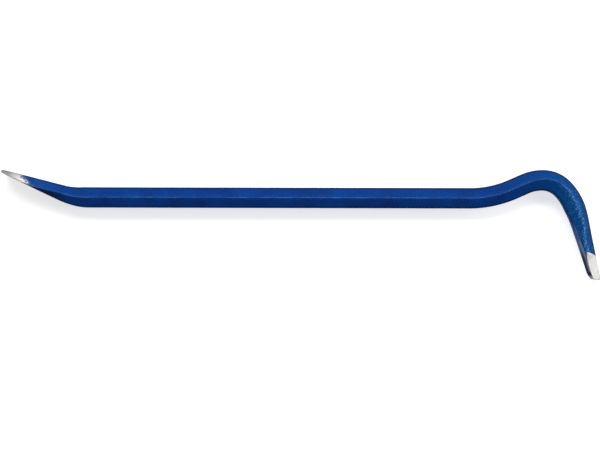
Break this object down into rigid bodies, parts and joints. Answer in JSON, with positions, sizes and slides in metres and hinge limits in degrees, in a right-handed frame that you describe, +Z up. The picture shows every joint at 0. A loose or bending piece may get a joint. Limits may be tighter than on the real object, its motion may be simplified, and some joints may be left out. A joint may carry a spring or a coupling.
{
  "type": "wrecking bar",
  "caption": "Gooseneck wrecking bar forged from painted hexagonal steel, with an upturned chisel at one end and a hooked, slotted claw at the other.",
  "frame": {"origin": "middle of the bounding box's underside, with the bar lying on its side", "axes": "+X along the shaft from the chisel to the claw, +Y away from the claw's tips, towards the heel's outside, +Z up through the side of the bar"},
  "size_m": [0.6, 0.11, 0.029],
  "materials": {
    "blue_paint": "semi-gloss blue enamel over forged steel, worn thin along the ridges",
    "bare_steel": "bare carbon steel, ground at the working ends"
  },
  "bodies": {
    "root": {"chisel_edge": "bare_steel", "chisel_blade": "blue_paint", "shaft": "blue_paint", "neck": "blue_paint", "heel": "blue_paint", "claw_leg": "blue_paint", "claw_prong_upper": "bare_steel", "claw_prong_lower": "bare_steel"}
  },
  "joints": []
}
